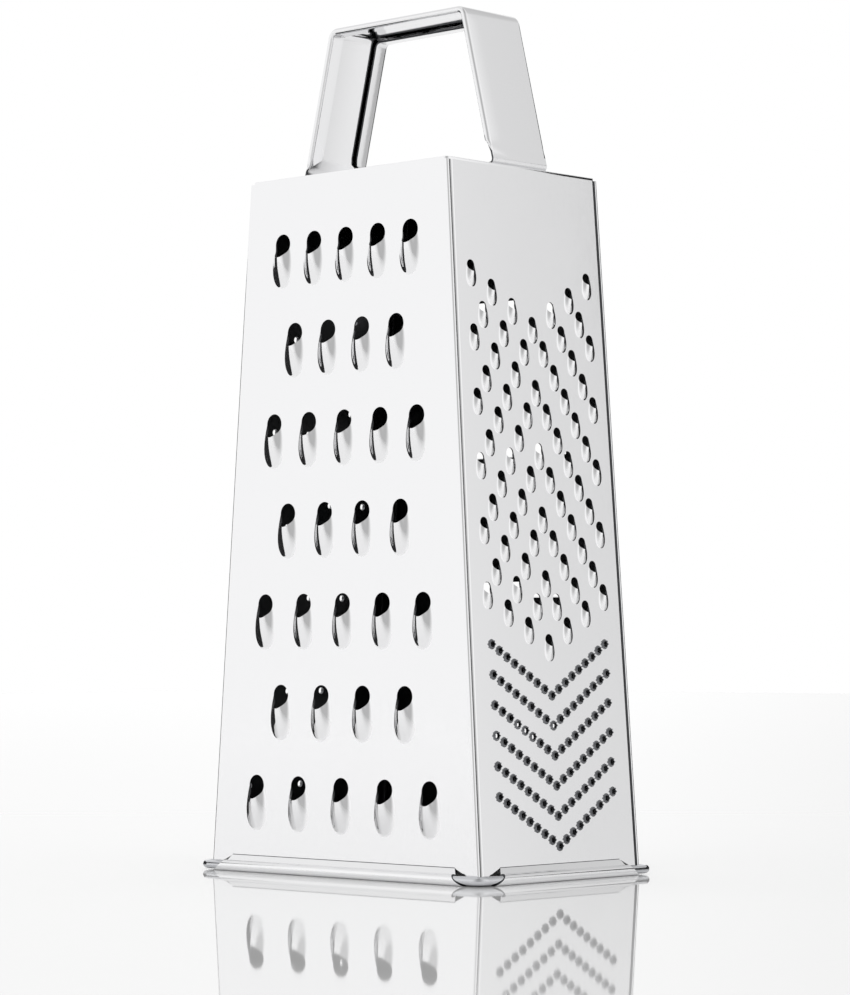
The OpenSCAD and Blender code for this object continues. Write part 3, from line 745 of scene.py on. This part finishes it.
def lid():
    """The top plate with a small bevel round its upper edge, painted dark underneath as shade."""
    x, y = TOP_W / 2 - PLATE_INSET - PLATE_CORNER, TOP_D / 2 - PLATE_INSET - PLATE_CORNER

    def rim(r):
        return [p for cx, cy, a in corners(x, y)
                for p in arc(cx, cy, r, a, a + 90, PLATE_CORNER_POINTS)]
    e, mid = PLATE_EDGE, PLATE_EDGE * PLATE_EDGE_MID
    steps = ((0, BODY_H), (0, PLATE_Z - e), (mid, PLATE_Z - mid), (e, PLATE_Z))
    b = Builder()
    ids = b.grid([[(px, py, z) for px, py in rim(PLATE_CORNER - d)] for d, z in steps], close=True)
    b.face(ids[0], FLAT | PAINTED_SHADE)
    b.face(ids[-1], FLAT)
    piece("lid", b, sheet_steel, "top_plate")


def strap_path():
    """Stations down the strap's outer face: x, z, angle of the outward normal, curl share."""
    nx, nz = math.cos(LEAN_HANDLE), math.sin(LEAN_HANDLE)
    lean_deg = math.degrees(LEAN_HANDLE)
    tx = HANDLE_TOP_W / 2 - HANDLE_BEND * (1 - nz) / nx
    tz = HANDLE_Z - HANDLE_BEND
    out = [(0.0, HANDLE_Z, 90.0, 1.0)]
    for a in np.linspace(90, lean_deg, STRAP_BEND_POINTS):
        out.append((tx + HANDLE_BEND * math.cos(math.radians(a)),
                    tz + HANDLE_BEND * math.sin(math.radians(a)), a, 1.0))
    sx, sz = tx + HANDLE_BEND * nx, tz + HANDLE_BEND * nz
    ex, ez = FOOT_X + FOOT_BEND * nx, FOOT_Z + FOOT_BEND * nz
    length = math.hypot(ex - sx, ez - sz)
    for d in np.linspace(0, length, STRAP_LEG_POINTS)[1:]:
        share = min(1.0, max(0.0, (length - d - CURL_START) / CURL_TAPER))
        share = share * share * (3 - 2 * share)
        t = d / length
        out.append((sx + (ex - sx) * t, sz + (ez - sz) * t, lean_deg, share))
    for a in np.linspace(lean_deg, -90, STRAP_FOOT_POINTS)[1:]:
        out.append((FOOT_X + FOOT_BEND * math.cos(math.radians(a)),
                    FOOT_Z + FOOT_BEND * math.sin(math.radians(a)), a, 0.0))
    out.append((FOOT_X - FOOT_L, PLATE_Z, -90.0, 0.0))
    return out


def strap_section(share):
    """Closed outline (across, depth) of the strap; the lips taper away first, then the curls open."""
    r = CURL_D / 2
    flat_to = STRAP_W / 2 - r
    turn = 180 * min(1.0, 2 * share)
    lip = (LIP_W - r) * max(0.0, 2 * share - 1)
    flap = r / 2 * (1 - min(1.0, 2 * share))
    outer, inner = [(0.0, 0.0), (flat_to, 0.0)], [(0.0, -STRAP_T), (flat_to, -STRAP_T)]
    for a in np.linspace(90, 90 - turn, CURL_POINTS)[1:]:
        c, s = math.cos(math.radians(a)), math.sin(math.radians(a))
        outer.append((flat_to + r * c, -r + r * s))
        inner.append((flat_to + (r - STRAP_T) * c, -r + (r - STRAP_T) * s))
    a = math.radians(90 - turn)
    tail_x, tail_z = (max(lip, flap) * c for c in (math.sin(a), -math.cos(a)))
    for side in (outer, inner):
        side.append((side[-1][0] + tail_x, side[-1][1] + tail_z))
    left = [(-x, z) for x, z in reversed(outer)]
    left_in = [(-x, z) for x, z in inner]
    return left[:-1] + outer + inner[::-1][:-1] + left_in


def strap():
    """The strap swept from foot to foot, its sheared edges painted dark as shade."""
    stations = strap_path()
    full = [(-x, z, 180 - a, s) for x, z, a, s in reversed(stations[1:])] + stations
    rows = []
    for x, z, a, share in full:
        nx, nz = math.cos(math.radians(a)), math.sin(math.radians(a))
        rows.append([(x + nx * depth, across, z + nz * depth)
                     for across, depth in strap_section(share)])
    n = len(rows[0])
    sheared = (n // 2 - 1, n - 1)
    b = Builder()
    b.grid(rows, [PAINTED_SHADE if i in sheared else 0 for i in range(n)], close=True)
    close_ends(b, rows[0])
    close_ends(b, rows[-1])
    piece("strap_handle", b, strap_steel, "handle", STRAP_SHARP_DEG)


def rivets():
    """Domed heads on the feet and flat closed heads under the lid."""
    rx = FOOT_X - FOOT_L + RIVET_END
    r = HEAD_D / 2
    ball = (r * r + HEAD_H ** 2) / (2 * HEAD_H)
    top, low = PLATE_Z + STRAP_T, BODY_H - HEAD_H
    profile = [(0.0, low), (r - HEAD_EDGE, low), (r, low + HEAD_EDGE), (r, BODY_H),
               (RIVET_D / 2, BODY_H), (RIVET_D / 2, top)]
    profile += [(ball * math.sin(t), top + HEAD_H - ball + ball * math.cos(t))
                for t in np.linspace(math.asin(r / ball), 0, DOME_POINTS)]
    round_about = np.linspace(0, 2 * math.pi, HEAD_POINTS + 1)[:-1]
    b = Builder()
    for x in (-rx, rx):
        for y in (-RIVET_SPACE / 2, RIVET_SPACE / 2):
            b.grid([[(x + q * math.cos(a), y + q * math.sin(a), z) for a in round_about]
                    for q, z in profile], close=True)
    piece("rivets", b, rivet_steel, "handle_rivets")


ring_wire()
lid()
strap()
rivets()


# ---------------------------------------------------------------- stage, camera and light
FLOOR_HALF = 3000       # millimetres
# grey level of the surround by azimuth in degrees: grey behind the camera and light grey at the right
ROUND = [(-180, 1.0), (-100, 1.0), (-58, 0.5), (-38, 0.5), (5, 1.0), (43, 1.0), (49, 0.78), (110, 0.7),
         (130, 1.0)]
# grey level by the sine of the height above the horizon: a little grey overhead
HIGH = [(0.5, 1.0), (0.64, 0.84)]
DIFFUSE = 0.9           # plain light for everything that isn't a mirror
# dark cards for the metal to mirror, outside the picture: name, corners in millimetres from the foot on
CARDS = [("left_card", [(-160, -115, 0), (-450, 165, 0), (-800, 440, 230), (-330, -240, 230)]),
         ("right_card", [(1600, 2000, 0), (-1180, 2000, 0), (-1180, 2000, 950), (1600, 2000, 1150)])]
# camera fitted to the photograph: focal length and longer side in pixels, place in metres, angles
FOCAL_PX, PICTURE_PX, SENSOR_MM = 3282.433, 995, 36.0
CAMERA_AT = (0.66026, -0.69420, 0.06528)
CAMERA_ANGLES = (43.53295, -2.599706, -0.042238)
CLIP_NEAR, CLIP_FAR = 0.05, 20      # metres


def stage_material(name, colour, rough, gloss):
    """A plain material of the floor or the cards."""
    mat = bpy.data.materials.new(name)
    mat.use_nodes = True
    shader = mat.node_tree.nodes["Principled BSDF"]
    shader.inputs["Base Color"].default_value = srgb(colour)
    shader.inputs["Roughness"].default_value = rough
    shader.inputs["Specular IOR Level"].default_value = gloss
    return mat


def stage_sheet(name, corner_points, material):
    """A flat sheet of the surround, which is no part of the grater."""
    obj = make_mesh(name, corner_points, [(0, 1, 2, 3)], material)
    return obj


def ramp(tree, source, stops):
    """Ramp of grey levels over a value, from (position, level) pairs."""
    node = add(tree, "ShaderNodeValToRGB", [(source, "Fac")])
    points = node.color_ramp.elements
    while len(points) < len(stops):
        points.new(0.5)
    for point, (place, level) in zip(points, stops):
        point.position = place
        point.color = (level, level, level, 1)
    return node.outputs["Color"]


def mix(tree, factor, a, b, **settings):
    """Mix of two colours, each a socket or a fixed colour; the factor likewise."""
    node = add(tree, "ShaderNodeMix", data_type="RGBA", **settings)
    for number, value in ((0, factor), (6, a), (7, b)):
        if isinstance(value, bpy.types.NodeSocket):
            tree.links.new(value, node.inputs[number])
        else:
            node.inputs[number].default_value = value
    return node.outputs[2]


def studio():
    """White to the camera, plain light to diffuse rays and the room's greys to mirror rays."""
    world = bpy.data.worlds.new("studio")
    bpy.context.scene.world = world
    world.use_nodes = True
    tree = world.node_tree
    place = add(tree, "ShaderNodeTexCoord")
    axes = add(tree, "ShaderNodeSeparateXYZ", [(place.outputs["Generated"], "Vector")])
    turn = add(tree, "ShaderNodeMath", [(axes.outputs["Y"], 0), (axes.outputs["X"], 1)],
               operation="ARCTAN2")
    share = add(tree, "ShaderNodeMapRange", [(turn.outputs["Value"], "Value")],
                in_From_Min=-math.pi, in_From_Max=math.pi)
    around = ramp(tree, share.outputs["Result"], [((a + 180) / 360, v) for a, v in ROUND])
    room = mix(tree, 1.0, around, ramp(tree, axes.outputs["Z"], HIGH), blend_type="MULTIPLY")
    path = add(tree, "ShaderNodeLightPath")
    soft = mix(tree, path.outputs["Is Diffuse Ray"], room, (DIFFUSE, DIFFUSE, DIFFUSE, 1))
    seen = mix(tree, path.outputs["Is Camera Ray"], soft, (1, 1, 1, 1))
    tree.links.new(seen, tree.nodes["Background"].inputs["Color"])


def camera():
    """The fitted camera: angles are round the upright, up from level, and round the line of sight."""
    data = bpy.data.cameras.new("camera")
    data.sensor_width = SENSOR_MM
    data.lens = FOCAL_PX * SENSOR_MM / PICTURE_PX
    data.clip_start, data.clip_end = CLIP_NEAR, CLIP_FAR
    yaw, pitch, tilt = map(math.radians, CAMERA_ANGLES)
    back = Vector((math.sin(yaw) * math.cos(pitch), -math.cos(yaw) * math.cos(pitch), math.sin(pitch)))
    right = Vector((math.cos(yaw), math.sin(yaw), 0))
    up = back.cross(right)
    x_axis = math.cos(tilt) * right + math.sin(tilt) * up
    y_axis = -math.sin(tilt) * right + math.cos(tilt) * up
    obj = bpy.data.objects.new("camera", data)
    bpy.context.scene.collection.objects.link(obj)
    obj.matrix_world = Matrix([(x, y, z, at) for x, y, z, at in zip(x_axis, y_axis, back, CAMERA_AT)]
                              + [(0, 0, 0, 1)])
    bpy.context.scene.camera = obj


# floor: white glossy acrylic, which mirrors the grater's base softly and keeps its shadow
floor_mat = stage_material("white_gloss_acrylic", "#FFFFFF", rough=0.03, gloss=0.5)
floor_rim = [(x * FLOOR_HALF, y * FLOOR_HALF, 0) for x, y in ((-1, -1), (1, -1), (1, 1), (-1, 1))]
stage_sheet("floor", floor_rim, floor_mat)
# cards: felt that only mirrors can see, for the dark lines along the teeth, seams and curls
card_mat = stage_material("dark_felt_card", "#2C2C2D", rough=0.9, gloss=0.0)
for name, corner_points in CARDS:
    card = stage_sheet(name, corner_points, card_mat)
    card.visible_camera = card.visible_diffuse = card.visible_shadow = False
studio()
camera()
bpy.context.scene.view_settings.view_transform = "Standard"
